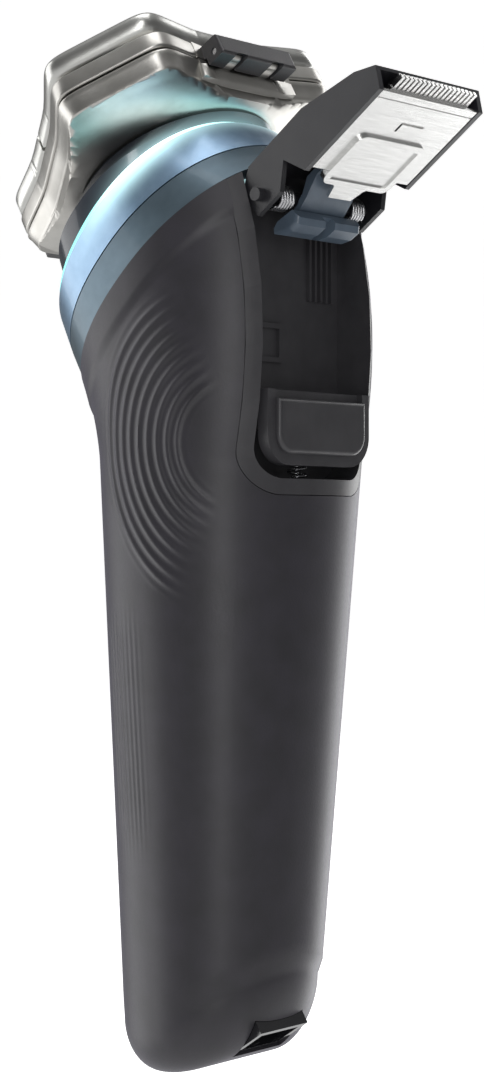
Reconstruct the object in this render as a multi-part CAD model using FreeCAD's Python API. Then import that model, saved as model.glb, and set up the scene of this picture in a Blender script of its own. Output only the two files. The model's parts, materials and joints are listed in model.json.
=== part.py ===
import FreeCAD, Part
import math
import os

V = FreeCAD.Vector
os.makedirs("parts", exist_ok=True)

# All sizes are in mm. The shaver is drawn with Z along the handle and Z = 0 at its lowest point,
# +Y towards the trimmer (back) and -Y towards the power button (front). Every node is then
# moved so that the origin is the centre of the charging socket's mouth.

# handle
baseHalfWidth = 14.7
baseHalfDepth = 14.1
baseCentreY = -2.4
straightTop = 96.0
topHalfWidth = 21.2
topHalfDepth = 18.9
topCentreY = 0.0
shellWall = 2.0
sectionPower = 2.2
sectionPoints = 24
seam = 0.12
skirtDepth = 6.0

# base: a gently sloped foot and a steeper facet behind it that holds the charging socket
footY = -14.0
footZ = -0.3
footSlope = 10.0
facetY = 2.5
facetSlope = 34.0
facetRound = 3.5

# rims that the collar is cut at, each from its front point to its back point
collarHalfWidth = 22.3
gripEdgeFrontY = -22.0
gripEdgeFrontZ = 104.8
gripEdgeBackY = 16.5
gripEdgeBackZ = 141.4
bandEdgeFrontY = -24.3
bandEdgeFrontZ = 109.5
bandEdgeBackY = 10.6
bandEdgeBackZ = 144.4
bandHalfWidth = 22.2
rimFrontY = -26.5
rimFrontZ = 114.5
rimBackY = 4.5
rimBackZ = 148.8
rimHalfWidth = 21.8
backBulge = 2.4
lightRingHeight = 1.2
lightRingInset = 0.8
lightRingWall = 1.6
domeGap = 0.6

# front panel, its display window and the power button
panelTopHalfWidth = 15.0
panelMidHalfWidth = 10.5
panelMidZ = 84.0
panelEndZ = 40.0
panelRise = 5.0
panelWall = 1.6
windowWidth = 12.0
windowLow = 46.0
windowHigh = 66.0
buttonZ = 82.0
buttonRadius = 6.2
buttonRise = 0.7
buttonTravel = 0.6
buttonGap = 0.3

# trimmer bay in the back
baySeamHalfWidth = 14.8
baySeamLow = 90.6
baySeamRound = 7.0
bayHalfWidth = 12.65
bayLow = 93.0
bayHigh = 139.6
bayFloorY = 11.0
bayWall = 1.4
bayCorner = 5.0
bayRibHeight = 0.7

# trimmer
hingeY = 17.1
hingeZ = 135.0
trimmerOpenAngle = 35.3
hingePinRadius = 1.0
trimmerHalfWidth = 12.3
trimmerWall = 1.0
trimmerReach = 27.2
trimmerBack = 5.0
trimmerBelly = -2.8
plateHalfWidth = 11.2
plateStart = 9.4
plateEnd = 25.6
plateThick = 0.6
plateWindowHalf = 7.8
plateWindowEnd = 17.3
bladeThick = 0.7
bladeGap = 0.1
toothRowHalf = 9.1
toothCount = 18
toothReach = 2.2
leverPivot = 8.0
leverPinAlong = 20.5
leverThick = 1.0
leverHalf = 5.2
leverLobeHalf = 7.4
runningGap = 0.05
looseGap = 0.3

# release slide below the trimmer
slideHalfWidth = 11.85
slideLow = 95.0
slideHigh = 106.3
slideFaceY = 18.2
slideThick = 2.0
slideRound = 4.8
padInset = 1.7
padDrop = 1.3
padRise = 0.9

# head, drawn flat and then tilted
headTilt = 29.7
headY = -15.0
headZ = 147.6
lobeReach = 27.5
lobeFlat = 18.3
sideDip = 1.8
bandHeight = 3.2
chamberDepth = 8.0
underDepth = 5.8
facetInset = 0.9
funnelRadius = 26.8
bossRadius = 9.2
spindleFloor = 4.7
chamberWall = 1.4
domeRadius = 16.6
domeWall = 1.6
domeHollowRadius = 13.0
neckOffset = 0.5
waistFront = (-27.6, 124.8)
waistBack = (1.9, 148.7)
frameHeight = 2.9
frameGap = 0.3
unitGap = 0.8
unitHeight = 3.4
unitOffset = 15.5
unitSplit = 0.9
guardRadius = 10.6
guardHeight = 1.5
guardRise = 1.1
guardWall = 0.5
guardSlots = 30
cutterRadius = 8.5
cutterBlades = 9
skirtRadius = 10.9
skirtWall = 1.0
skirtLength = 1.9

couplingRadius = 7.6
hingeHalf = 8.6
hingeAlong = 22.2
hingeLevel = 0.3
hingePinSize = 0.5
hingeBarReach = 1.7
lugRadius = 0.95
lugWidth = 2.0
lugX = 4.2
releaseTravel = 0.8

# gears under the hair chamber
gearModule = 0.5
centralTeeth = 39
unitTeeth = 23
gearThick = 1.4
gearFloor = -3.5
coverThick = 0.7
spindleRadius = 1.5
driveTipHalf = 1.3

# drive inside the handle
motorOffset = 8.5
pinionTeeth = 12
driveTeeth = 22
motorRadius = 8.5
motorLength = 21.0
motorTop = -25.0
platformLow = -20.5
platformThick = 2.0
bearingRadius = 3.6

# battery, board and inner frame
batteryRadius = 7.1
batteryLength = 50.0
batteryLow = 32.0
batteryY = 2.0
boardWidth = 17.0
boardThick = 1.2
boardY = -11.4
switchHeight = 1.1
boardLow = 30.0
boardHigh = 92.0
spineY = -7.4
spineThick = 1.5
spineWidth = 18.0

# charging socket
socketWidth = 8.6
socketHeight = 5.0
socketDepth = 4.0
pinRadius = 0.7
pinSpacing = 3.6

socketY = facetY + 5.6
footDrop = footZ + (facetY - footY) * math.tan(math.radians(footSlope))
socketZ = footDrop + (socketY - facetY) * math.tan(math.radians(facetSlope))


def export(name, shape):
    # moves a node to the socket origin and writes it
    moved = shape.copy()
    moved.translate(V(0, -socketY, -socketZ))
    moved.exportStep("parts/" + name + ".step")


def box(x0, x1, y0, y1, z0, z1):
    return Part.makeBox(x1 - x0, y1 - y0, z1 - z0, V(x0, y0, z0))


def cylinder(radius, low, high, x=0.0, y=0.0):
    return Part.makeCylinder(radius, high - low, V(x, y, low))


def tube(outer, inner, low, high, x=0.0, y=0.0):
    return cylinder(outer, low, high, x, y).cut(cylinder(inner, low - 1, high + 1, x, y))


def prismX(points, x0, x1):
    # an outline of (y, z) points pushed along X
    wire = Part.makePolygon([V(x0, y, z) for y, z in points + points[:1]])
    return Part.Face(wire).extrude(V(x1 - x0, 0, 0))


def prismY(points, y0, y1):
    # an outline of (x, z) points pushed along Y
    wire = Part.makePolygon([V(x, y0, z) for x, z in points + points[:1]])
    return Part.Face(wire).extrude(V(0, y1 - y0, 0))


def prismZ(points, z0, z1):
    # an outline of (x, y) points pushed along Z
    wire = Part.makePolygon([V(x, y, z0) for x, y in points + points[:1]])
    return Part.Face(wire).extrude(V(0, 0, z1 - z0))


def roundEdges(shape, radius, wanted):
    # rounds the edges that the test picks, and keeps the sharp shape if the round can't be made
    edges = [edge for edge in shape.Edges if wanted(edge)]
    if not edges:
        return shape
    try:
        rounded = shape.makeFillet(radius, edges)
    except Exception:
        return shape
    return rounded if rounded.isValid() and rounded.Volume > 0 else shape


def roundLower(block, corner, low):
    # rounds the two lower corners of a block, along Y
    def isLowerCorner(edge):
        return edge.BoundBox.ZMax < low + 0.01 and edge.BoundBox.XLength < 0.01
    return roundEdges(block, corner, isLowerCorner)


def largestSolid(shape):
    return max(shape.Solids, key=lambda solid: solid.Volume)


def toHead(shape):
    # places a piece drawn flat around the head's axis
    placed = shape.copy()
    placed.rotate(V(0, 0, 0), V(1, 0, 0), headTilt)
    placed.translate(V(0, headY, headZ))
    return placed


def toTrimmer(shape):
    # places a piece drawn with the trimmer pointing along +Y from its hinge
    placed = shape.copy()
    placed.rotate(V(0, 0, 0), V(1, 0, 0), trimmerOpenAngle)
    placed.translate(V(0, hingeY, hingeZ))
    return placed


def sectionWire(frontY, frontZ, backY, backZ, halfWidth, inset):
    # closed rounded section whose plane runs from the front point to the back point
    lengthY = backY - frontY
    lengthZ = backZ - frontZ
    half = math.hypot(lengthY, lengthZ) / 2
    alongY = lengthY / (2 * half)
    alongZ = lengthZ / (2 * half)
    midY = (frontY + backY) / 2
    midZ = (frontZ + backZ) / 2
    points = []
    for i in range(sectionPoints):
        angle = 2 * math.pi * i / sectionPoints
        c = math.cos(angle)
        s = math.sin(angle)
        u = math.copysign(abs(c) ** (2 / sectionPower), c) * (halfWidth - inset)
        v = math.copysign(abs(s) ** (2 / sectionPower), s) * (half - inset)
        points.append(V(u, midY + alongY * v, midZ + alongZ * v))
    curve = Part.BSplineCurve()
    curve.interpolate(Points=points, PeriodicFlag=True)
    return Part.Wire(curve.toShape())


def levelWire(z, inset):
    # section of the straight lower handle at one height
    share = z / straightTop
    halfWidth = baseHalfWidth + (topHalfWidth - baseHalfWidth) * share
    halfDepth = baseHalfDepth + (topHalfDepth - baseHalfDepth) * share
    centre = baseCentreY + (topCentreY - baseCentreY) * share
    return sectionWire(centre - halfDepth, z, centre + halfDepth, z, halfWidth, inset)


def turningWire(share, inset):
    # section of the upper handle, leaning from level towards the collar's lower edge
    frontY = topCentreY - topHalfDepth + (gripEdgeFrontY - topCentreY + topHalfDepth) * share
    frontZ = straightTop + (gripEdgeFrontZ - straightTop) * share ** 0.7
    backStart = topCentreY + topHalfDepth
    backY = backStart + (gripEdgeBackY - backStart) * share ** 3 + 4 * backBulge * share * (1 - share)
    backZ = straightTop + (gripEdgeBackZ - straightTop) * share
    halfWidth = topHalfWidth + (collarHalfWidth - topHalfWidth) * math.sin(share * math.pi / 2)
    return sectionWire(frontY, frontZ, backY, backZ, halfWidth, inset)


def gripEdgeWire(inset):
    return turningWire(1.0, inset)


def bandWire(inset):
    front = (bandEdgeFrontY, bandEdgeFrontZ)
    back = (bandEdgeBackY, bandEdgeBackZ)
    return sectionWire(*front, *back, bandHalfWidth, inset)


def rimWire(inset):
    return sectionWire(rimFrontY, rimFrontZ, rimBackY, rimBackZ, rimHalfWidth, inset)


def handleLoft(inset):
    levels = [levelWire(-skirtDepth, inset), levelWire(straightTop, inset)]
    turns = [turningWire(share, inset) for share in (0.2, 0.4, 0.6, 0.8, 1.0)]
    return Part.makeLoft(levels + turns, True, True)


def planeBox(pointY, pointZ, slope, upper):
    # a large block on one side of a plane that contains X and slopes in Y
    size = 400.0
    low = 0.0 if upper else -size
    block = box(-size / 2, size / 2, -size / 2, size / 2, low, low + size)
    block.rotate(V(0, 0, 0), V(1, 0, 0), slope)
    block.translate(V(0, pointY, pointZ))
    return block


def cutBase(body, inset):
    # cuts the sloped foot and the socket facet
    footLift = inset / math.cos(math.radians(footSlope))
    facetLift = inset / math.cos(math.radians(facetSlope))
    body = body.cut(planeBox(footY, footZ + footLift, footSlope, False))
    return body.cut(planeBox(facetY, footDrop + facetLift, facetSlope, False))


def outerBody():
    body = cutBase(handleLoft(0.0), 0.0)
    return roundEdges(body, facetRound, lambda edge: edge.BoundBox.ZMax < 12.0)


def innerBody():
    return cutBase(handleLoft(shellWall), shellWall)


def panelOutline(grow):
    # front panel outline: wide at the collar, narrower by the button, with a rounded end
    points = []
    top = panelTopHalfWidth + grow
    middle = panelMidHalfWidth + grow
    points.append((top, rimFrontZ + panelRise))
    points.append((middle + (top - middle) * 0.35, (panelMidZ + gripEdgeFrontZ) / 2))
    points.append((middle, panelMidZ))
    turns = 8
    for i in range(turns + 1):
        angle = math.pi * i / turns
        points.append((middle * math.cos(angle), panelEndZ + middle - middle * math.sin(angle)))
    points.append((-middle, panelMidZ))
    points.append((-middle - (top - middle) * 0.35, (panelMidZ + gripEdgeFrontZ) / 2))
    points.append((-top, rimFrontZ + panelRise))
    return points


def frontBlock(grow):
    return prismY(panelOutline(grow), -60.0, -6.0)


def bayBlock(grow):
    # U-shaped block that separates the bay insert from the grip
    half = baySeamHalfWidth + grow
    low = baySeamLow - grow
    block = box(-half, half, 0.0, 60.0, low, rimBackZ + 20.0)
    return roundLower(block, baySeamRound + grow, low)


def gripShell(outer, inner):
    shell = outer.cut(inner)
    shell = shell.cut(frontBlock(seam))
    shell = shell.cut(bayBlock(seam))
    return largestSolid(shell.cut(socketBlock(seam / 2)))


def onFacet(shape):
    # places a piece drawn with +Z pointing into the base at the socket mouth
    placed = shape.copy()
    placed.rotate(V(0, 0, 0), V(1, 0, 0), facetSlope)
    placed.translate(V(0, socketY, socketZ))
    return placed


def socketBlock(grow):
    half = socketWidth / 2 + 1.2 + grow
    tall = socketHeight / 2 + 1.2 + grow
    return onFacet(box(-half, half, -tall, tall, -5.0, socketDepth + 1.5 + grow))


def socketInsert():
    block = socketBlock(-seam / 2).cut(planeBox(facetY, footDrop, facetSlope, False))
    half = socketWidth / 2
    tall = socketHeight / 2
    mouth = box(-half, half, -tall, tall, -6.0, socketDepth)
    block = block.cut(onFacet(mouth))
    for side in (-1, 1):
        block = block.cut(onFacet(cylinder(pinRadius, 0.0, 12.0, side * pinSpacing / 2)))
    return block


def contactPins():
    pins = []
    for side in (-1, 1):
        pins.append(onFacet(cylinder(pinRadius, 1.0, socketDepth + 3.0, side * pinSpacing / 2)))
    return Part.makeCompound(pins)


def frontPanel(outer):
    # black strip from its rounded lower end up through the collar to the light ring
    skin = outer.cut(cutBase(handleLoft(panelWall), shellWall)).common(frontBlock(0.0))
    lower = hollowBand(gripEdgeWire, bandWire, panelWall).common(frontBlock(0.0))
    upper = hollowBand(bandWire, rimWire, panelWall).common(frontBlock(0.0))
    panel = largestSolid(skin).fuse(largestSolid(lower)).fuse(largestSolid(upper)).removeSplitter()
    panel = panel.cut(windowBlock(seam))
    return largestSolid(panel.cut(buttonHole(buttonGap)))


def windowBlock(grow):
    half = windowWidth / 2 + grow
    block = box(-half, half, -60.0, -6.0, windowLow - grow, windowHigh + grow)
    return roundEdges(block, 2.5, lambda edge: edge.BoundBox.YLength > 50.0)


def buttonHole(grow):
    return Part.makeCylinder(buttonRadius + grow, 54.0, V(0, -60.0, buttonZ), V(0, 1, 0))


def displayWindow(outer):
    skin = outer.cut(handleLoft(panelWall))
    return largestSolid(skin.common(windowBlock(0.0)))


def powerButton(outer):
    # cap that stands a little proud of the panel, with a stem behind it
    cap = outer.cut(handleLoft(panelWall)).common(buttonHole(0.0))
    cap = largestSolid(cap)
    proud = cap.copy()
    proud.translate(V(0, -buttonRise, 0))
    stem = Part.makeCylinder(1.6, 6.0, V(0, cap.BoundBox.YMin + 0.6, buttonZ), V(0, 1, 0))
    flange = Part.makeCylinder(1.6, 0.5, V(0, cap.BoundBox.YMin + 0.6, buttonZ), V(0, 1, 0))
    stem = stem.common(box(-5, 5, -60, boardY - boardThick - switchHeight - buttonTravel - 0.1, 0, 200))
    return cap.fuse(proud).fuse(stem).fuse(flange).removeSplitter()


def rearBay(outer):
    # border flush with the grip, pocket for the trimmer, and the hinge holes
    block = outer.common(bayBlock(0.0))
    block = block.common(box(-60, 60, bayFloorY - bayWall, 60, 0, 200))
    pocket = box(-bayHalfWidth, bayHalfWidth, bayFloorY, 60, bayLow, bayHigh)
    pocket = roundLower(pocket, bayCorner, bayLow)
    block = block.cut(pocket)
    pinHole = Part.makeCylinder(hingePinRadius + runningGap, 60, V(-30, hingeY, hingeZ), V(1, 0, 0))
    block = largestSolid(block.cut(pinHole))
    ribs = []
    for i in range(5):
        x = bayHalfWidth - 2.0 - 1.3 * i
        ribs.append(box(-x - 0.25, -x + 0.25, bayFloorY - 0.2, bayFloorY + bayRibHeight, 121.0, 131.0))
    frameOuter = box(1.0, 8.0, bayFloorY - 0.2, bayFloorY + 0.6, 111.0, 117.0)
    frameInner = box(1.8, 7.2, bayFloorY - 1.0, bayFloorY + 2.0, 111.8, 116.2)
    block = block.fuse(frameOuter.cut(frameInner))
    return block.multiFuse(ribs).removeSplitter()


def hollowBand(lower, upper, wall):
    outside = Part.makeLoft([lower(0.0), upper(0.0)], True, True)
    inside = Part.makeLoft([lower(wall), upper(wall)], True, True)
    return outside.cut(inside)


def collarBand(lower, upper):
    # band between two of the collar's edges, open where the front panel passes
    return largestSolid(hollowBand(lower, upper, shellWall).cut(frontBlock(seam)))


def collarLower():
    return collarBand(gripEdgeWire, bandWire)


def collarUpper():
    return collarBand(bandWire, rimWire)


def rimNormal():
    slope = math.atan2(rimBackZ - rimFrontZ, rimBackY - rimFrontY)
    return V(0, -math.sin(slope), math.cos(slope))


def lightRing():
    outer = Part.Face(rimWire(lightRingInset)).extrude(rimNormal() * lightRingHeight)
    hole = Part.Face(rimWire(lightRingInset + lightRingWall))
    inner = hole.extrude(rimNormal() * (lightRingHeight + 2))
    inner.translate(rimNormal() * -1)
    return outer.cut(inner)


def headRing(radius, level, along):
    # level ring of the head as a closed section with the handle's point order
    points = []
    for i in range(sectionPoints):
        angle = 2 * math.pi * i / sectionPoints
        points.append(V(radius * math.cos(angle), along + radius * math.sin(angle), level))
    curve = Part.BSplineCurve()
    curve.interpolate(Points=points, PeriodicFlag=True)
    return toHead(Part.Wire(curve.toShape()))


def domeLoft(inset, topRadius, topDepth):
    # bulging body from the rim, past the light ring, to just under the hair chamber
    edge = lightRingInset + lightRingWall
    foot = rimWire(edge + domeGap + inset)
    lift = rimNormal() * (lightRingHeight + 0.1)
    front = (rimFrontY + lift.y, rimFrontZ + lift.z)
    back = (rimBackY + lift.y, rimBackZ + lift.z)
    collar = sectionWire(*front, *back, rimHalfWidth, edge + domeGap / 2 + inset)
    waist = sectionWire(*waistFront, *waistBack, rimHalfWidth - 1.5, inset)
    top = headRing(topRadius, -topDepth, neckOffset)
    return Part.makeLoft([foot, collar, waist, top], True, True)


def neckDome():
    dome = domeLoft(0.0, domeRadius, underDepth + looseGap)
    hollow = domeLoft(domeWall, domeHollowRadius, chamberDepth + looseGap + domeWall)
    hollow = hollow.fuse(toHead(cylinder(0.5, -60, -40)))
    dome = dome.cut(largestSolid(hollow))
    dome = dome.cut(toHead(cylinder(couplingRadius + looseGap, -14.0, 2.0)))
    return largestSolid(dome.cut(toHead(cylinder(bossRadius + looseGap, -chamberDepth - looseGap, 2.0))))


def headOutline(inset):
    # six corners: three short lobe flats and three long sides that dip in the middle
    points = []
    for i in range(3):
        lobe = math.radians(30 + 120 * i)
        reach = lobeReach - inset
        half = lobeFlat / 2 - inset * 0.577
        for side in (-1, 1):
            x = reach * math.cos(lobe) - side * half * math.sin(lobe)
            y = reach * math.sin(lobe) + side * half * math.cos(lobe)
            points.append((x, y))
        between = lobe + math.radians(60)
        dip = sideDistance() - sideDip - inset
        spread = 7.0
        for side in (-1, 1):
            x = dip * math.cos(between) - side * spread * math.sin(between)
            y = dip * math.sin(between) + side * spread * math.cos(between)
            points.append((x, y))
    return points


def sideDistance():
    # distance from the head's axis to the line that joins two neighbouring lobes
    lobe = math.radians(30)
    x = lobeReach * math.cos(lobe) - lobeFlat / 2 * math.sin(lobe)
    y = lobeReach * math.sin(lobe) + lobeFlat / 2 * math.cos(lobe)
    return x * math.cos(math.radians(90)) + y * math.sin(math.radians(90))


def headSlab(low, high, inset, corner):
    slab = prismZ(headOutline(inset), low, high)
    return roundEdges(slab, corner, lambda edge: edge.BoundBox.ZLength > (high - low) * 0.9)


def wellRadius(teeth):
    # pitch radius of a gear, its teeth and room to turn
    return teeth * gearModule / 2 + gearModule + looseGap


def hairChamber():
    # band, hollowed underside down to the dome's edge, boss for the coupling, gear wells and spindle holes
    band = headSlab(-bandHeight, 0.0, 0.0, 2.2)
    slope = Part.makeCone(domeRadius + looseGap, funnelRadius, underDepth - bandHeight, V(0, neckOffset, -underDepth))
    slope = slope.fuse(cylinder(funnelRadius, -bandHeight - 0.01, -bandHeight + 0.1, 0.0, neckOffset))
    under = prismZ(headOutline(facetInset), -underDepth - 1.0, -bandHeight + 0.1)
    body = band.fuse(slope.common(under)).fuse(cylinder(bossRadius, -chamberDepth, -bandHeight))
    hollow = headSlab(gearFloor + gearThick + 0.3, 1.0, chamberWall, 1.6)
    body = body.cut(hollow)
    wellFloor = gearFloor - 0.15
    wells = [cylinder(wellRadius(centralTeeth), wellFloor, 1.0)]
    for x, y in unitCentres():
        wells.append(cylinder(wellRadius(unitTeeth), wellFloor, 1.0, x, y))
        wells.append(cylinder(spindleRadius + runningGap, -spindleFloor, 1.0, x, y))
    for well in wells:
        body = body.cut(well)
    body = body.cut(cylinder(3.4, -20.0, 1.0))
    body = body.cut(releaseBlock(0.15)).cut(releaseBlock(0.15).translated(V(0, releaseTravel, 0)))
    for side in (-1, 1):
        start = side * lugX - lugWidth / 2
        lug = Part.makeCylinder(lugRadius, lugWidth, V(start, hingeAlong, hingeLevel), V(1, 0, 0))
        low = hingeLevel - lugRadius
        arm = box(start, start + lugWidth, hingeAlong - 3.4, hingeAlong - 0.3, low, -0.05)
        body = body.fuse(lug.fuse(arm))
    return largestSolid(body.cut(hingeHole(0.0)))


def hingeHole(grow):
    return Part.makeCylinder(hingePinSize + grow, 40, V(-20, hingeAlong, hingeLevel), V(1, 0, 0))


def releaseBlock(grow):
    low = -2.6 - grow
    return box(-4.5 - grow, 4.5 + grow, -lobeReach - 0.9, -lobeReach + 2.6 + grow, low, -0.6 + grow)


def headRelease():
    button = releaseBlock(0.0)

    def isOuterEdge(edge):
        return edge.BoundBox.YMax < -lobeReach and edge.BoundBox.ZLength > 1
    return roundEdges(button, 0.6, isOuterEdge)


def gearCover():
    low = gearFloor + gearThick + 0.3
    cover = headSlab(low, low + coverThick, chamberWall + 0.15, 1.6)
    for x, y in unitCentres():
        cover = cover.cut(cylinder(spindleRadius + runningGap, low - 1, low + 2, x, y))
    return cover.cut(releaseBlock(releaseTravel + looseGap))


def unitCentres():
    centres = []
    for i in range(3):
        lobe = math.radians(30 + 120 * i)
        centres.append((unitOffset * math.cos(lobe), unitOffset * math.sin(lobe)))
    return centres


def headCoupling():
    # sleeve under the chamber that plugs into the neck
    sleeve = tube(couplingRadius, couplingRadius - 1.4, -11.5, -chamberDepth)
    for i in range(3):
        lug = box(couplingRadius - 0.2, couplingRadius + 0.1, -1.2, 1.2, -10.5, -9.0)
        lug.rotate(V(0, 0, 0), V(0, 0, 1), 90 + 120 * i)
        sleeve = sleeve.fuse(lug)
    return sleeve


def gearBody(teeth, low, high, turned=0.0):
    # straight trapezoid teeth on the pitch circle
    pitch = teeth * gearModule / 2
    root = pitch - 1.1 * gearModule
    tip = pitch + 0.85 * gearModule
    points = []
    step = 2 * math.pi / teeth
    for i in range(teeth):
        middle = i * step + math.radians(turned)
        shape = ((root, -0.33), (tip, -0.13), (tip, 0.13), (root, 0.33))
        for radius, share in shape:
            angle = middle + share * step
            points.append((radius * math.cos(angle), radius * math.sin(angle)))
    return prismZ(points, low, high)


def centralGear():
    gear = gearBody(centralTeeth, gearFloor, gearFloor + gearThick, centralTurn())
    gear = gear.fuse(cylinder(3.1, -8.0, gearFloor + 0.2))
    return gear.cut(driveTip(0.25, -9.0, -5.4))


def centralTurn():
    # a tooth of the central gear points at each unit gear
    return 30.0


def unitGear(index):
    # gear, spindle and square driving tip in one turning piece
    x, y = unitCentres()[index]
    facing = 30 + 120 * index + 180
    step = 360.0 / unitTeeth
    gear = gearBody(unitTeeth, gearFloor, gearFloor + gearThick, facing + step / 2)
    spindle = cylinder(spindleRadius, -spindleFloor + 0.1, 4.3)
    tip = box(-driveTipHalf, driveTipHalf, -driveTipHalf, driveTipHalf, 4.2, 5.4)
    tip = tip.common(cylinder(spindleRadius + 0.2, 4.0, 6.0))
    piece = gear.fuse(spindle).fuse(tip)
    piece.translate(V(x, y, 0))
    return piece


def driveTip(grow, low, high):
    half = driveTipHalf + grow
    return box(-half, half, -half, half, low, high)


def hingeCover():
    # dark bar behind the head that turns with the frame and hides the chamber's two lugs
    outer = hingeAlong + hingeBarReach
    bar = box(-hingeHalf, hingeHalf, hingeAlong - 2.3, outer, hingeLevel - 1.3, hingeLevel + 2.2)
    bar = bar.cut(box(-20, 20, hingeAlong - 4, hingeAlong - 1.75, hingeLevel - 3, frameGap + 0.05))
    bar = roundEdges(bar, 0.5, lambda edge: edge.BoundBox.YMin > outer - 0.01)
    # open below, from the angle where the lug's arm stops the bar at full swing
    free = math.radians(28)
    wedge = [(0, 0), (4 * math.cos(free), -4 * math.sin(free)), (4, -6), (-4, -6), (-4, 0)]
    wedge = [(hingeAlong + y, hingeLevel + z) for y, z in wedge]
    for side in (-1, 1):
        x = side * lugX
        half = lugWidth / 2 + looseGap
        start = V(x - half, hingeAlong, hingeLevel)
        room = Part.makeCylinder(lugRadius + looseGap, 2 * half, start, V(1, 0, 0))
        bar = bar.cut(room).cut(prismX(wedge, x - half, x + half))
    bar = bar.cut(hingeHole(runningGap))
    return largestSolid(bar.cut(headSlab(-1.0, frameGap + frameHeight, -0.0, 2.2)))


def hingePin():
    return hingeHole(0.0).common(box(-hingeHalf + 0.2, hingeHalf - 0.2, -60, 60, -60, 60))


def headFrame():
    # upper frame with three openings and a hollow underside
    top = frameGap + frameHeight
    frame = headSlab(frameGap, top, 0.0, 2.2)
    hollow = headSlab(frameGap - 1.0, top - 1.2, chamberWall, 1.6)
    frame = frame.cut(hollow)
    for x, y in unitCentres():
        frame = frame.cut(cylinder(skirtRadius + 0.6, -1.0, 10.0, x, y))
    return largestSolid(frame)


def retainingPlate():
    # three rings on a centre web that hold the cutters in the frame
    low = frameGap + 0.3
    high = low + 0.9
    plate = cylinder(6.6, low, high)
    for x, y in unitCentres():
        plate = plate.fuse(cylinder(9.6, low, high, x, y))
    for x, y in unitCentres():
        plate = plate.cut(cylinder(7.6, low - 1, high + 1, x, y))
    web = cylinder(1.6, low, frameGap + frameHeight - 1.2)
    return plate.fuse(web)


def unitSector(index, grow):
    # the third of the head that belongs to one shaving unit
    reach = 60.0
    lobe = 30 + 120 * index
    points = [(0.0, 0.0)]
    for angle in (-60, 0, 60):
        turn = math.radians(lobe + angle)
        points.append((reach * math.cos(turn), reach * math.sin(turn)))
    sector = prismZ(points, -5.0, 20.0)
    shift = (unitSplit / 2 + grow) / math.sin(math.radians(60))
    sector.translate(V(shift * math.cos(math.radians(lobe)), shift * math.sin(math.radians(lobe)), 0))
    return sector


def unitLow():
    return frameGap + frameHeight + unitGap


def unitBezel(index):
    # carrier ring of one shaving unit, with a skirt that dips into the frame
    low = unitLow()
    x, y = unitCentres()[index]
    bezel = headSlab(low, low + unitHeight, 0.3, 2.0).common(unitSector(index, 0.0))
    bezel = roundEdges(bezel, 0.9, lambda edge: edge.BoundBox.ZMin > low + unitHeight - 0.01)
    skirt = cylinder(skirtRadius, low - skirtLength, low + 0.5, x, y)
    bezel = bezel.fuse(skirt)
    bezel = bezel.cut(cylinder(skirtRadius - skirtWall, low - 3.0, low + unitHeight - guardHeight, x, y))
    return largestSolid(bezel.cut(cylinder(guardRadius, low + unitHeight - guardHeight, low + 9.0, x, y)))


def shavingGuard(index):
    # thin domed cap with radial slots in two rings
    low = unitLow() + unitHeight - guardHeight
    top = unitLow() + unitHeight + guardRise
    x, y = unitCentres()[index]
    cap = Part.makeCone(guardRadius, guardRadius - 0.8, top - low - 0.3, V(0, 0, low))
    cap = cap.fuse(cylinder(guardRadius - 1.3, low, top))
    groove = tube(6.9, 6.1, top - 0.25, top + 1)
    cap = cap.cut(groove)
    cap = cap.cut(cylinder(guardRadius - 1.3 - guardWall, low - 1, top - guardWall))
    cap = cap.cut(tube(guardRadius - guardWall, guardRadius - 2.0, low - 1, top - 0.3 - guardWall))
    slots = []
    for i in range(guardSlots):
        slot = box(7.3, 8.9, -0.17, 0.17, low, top + 1)
        slot.rotate(V(0, 0, 0), V(0, 0, 1), 360.0 * i / guardSlots)
        slots.append(slot)
    for i in range(guardSlots // 2):
        slot = box(4.2, 5.8, -0.17, 0.17, low, top + 1)
        slot.rotate(V(0, 0, 0), V(0, 0, 1), 720.0 * i / guardSlots)
        slots.append(slot)
    cap = largestSolid(cap.cut(Part.makeCompound(slots)))
    cap.translate(V(x, y, 0))
    return cap


def rotaryCutter(index):
    # ring of upright blades on a hub with a square drive hole
    x, y = unitCentres()[index]
    top = unitLow() + unitHeight + guardRise - guardWall - looseGap
    low = 4.6
    disc = tube(6.4, 1.0, low, low + 0.8)
    hub = cylinder(3.2, low, top - 0.8)
    piece = disc.fuse(hub)
    for i in range(cutterBlades):
        blade = box(5.6, cutterRadius, -0.3, 0.3, low, top)
        blade = blade.cut(box(6.6, 9.0, -1, 1, low - 1, low + 0.35))
        blade.rotate(V(0, 0, 0), V(0, 0, 1), 360.0 * i / cutterBlades)
        piece = piece.fuse(blade)
    socket = box(-1.9, 1.9, -1.9, 1.9, low - 1, 5.9)
    piece = piece.cut(socket)
    piece.translate(V(x, y, 0))
    return piece


def onMotor(shape):
    # places a piece drawn on the motor's axis, which is parallel to the head's axis
    placed = shape.copy()
    placed.translate(V(0, -motorOffset, 0))
    return toHead(placed)


def motorBody():
    can = cylinder(motorRadius, motorTop - motorLength, motorTop)
    can = roundEdges(can, 0.8, lambda edge: edge.Length > 40)
    boss = cylinder(3.0, motorTop - motorLength - 1.2, motorTop - motorLength)
    body = can.fuse(boss)
    for side in (-1, 1):
        low = motorTop - motorLength
        body = body.fuse(box(side * 5 - 0.6, side * 5 + 0.6, -0.2, 0.2, low - 3, low + 0.5))
        body = body.cut(cylinder(0.8, motorTop - 3.0, motorTop + 1, side * 6.0))
    return onMotor(body.cut(cylinder(1.0 + runningGap, motorTop - motorLength + 2, motorTop + 1)))


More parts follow.
